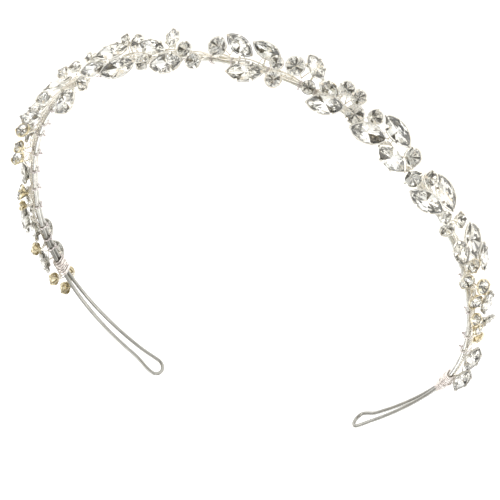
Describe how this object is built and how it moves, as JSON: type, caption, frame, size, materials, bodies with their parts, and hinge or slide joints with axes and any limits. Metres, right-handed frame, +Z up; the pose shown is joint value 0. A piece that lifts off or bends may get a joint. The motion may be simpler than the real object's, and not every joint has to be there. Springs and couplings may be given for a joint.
{
  "type": "crystal headband",
  "caption": "Slim wire headband with a hairpin loop at each end and a vine of navette and round crystals in claw settings along its outer side.",
  "frame": {"origin": "centre of the bounding box's base: the headband lies on its side on this surface, as it would by itself", "axes": "+Z up across the band's width, the middle of the crown towards -Y, the two hairpin loops towards +Y, the end nearest the picture's left at +X"},
  "size_m": [0.1464, 0.1526, 0.0172],
  "materials": {
    "band_silver": "polished silver plate",
    "tie_silver": "bright thin wire",
    "champagne_wire": "bright pale champagne wire",
    "claw_silver": "polished silver plate",
    "crystal": "clear cut crystal with a foiled back"
  },
  "bodies": {
    "root": {"frame_wire": "band_silver", "left_binding": "champagne_wire", "right_binding": "champagne_wire", "wire_ties": "tie_silver", "vine_wire": "champagne_wire", "marquise_settings": "claw_silver", "round_settings": "claw_silver", "round_crystals": "crystal", "navette_01": "crystal", "navette_02": "crystal", "navette_03": "crystal", "navette_04": "crystal", "navette_05": "crystal", "navette_06": "crystal", "navette_07": "crystal", "navette_08": "crystal", "navette_09": "crystal", "navette_10": "crystal", "navette_11": "crystal", "navette_12": "crystal", "navette_13": "crystal", "navette_14": "crystal", "navette_15": "crystal", "navette_16": "crystal", "navette_17": "crystal", "navette_18": "crystal", "navette_19": "crystal", "navette_20": "crystal", "navette_21": "crystal", "navette_22": "crystal", "navette_23": "crystal", "navette_24": "crystal", "navette_25": "crystal", "navette_26": "crystal", "navette_27": "crystal", "navette_28": "crystal", "navette_29": "crystal", "navette_30": "crystal", "navette_31": "crystal", "navette_32": "crystal", "navette_33": "crystal", "navette_34": "crystal", "navette_35": "crystal", "navette_36": "crystal"}
  },
  "joints": []
}
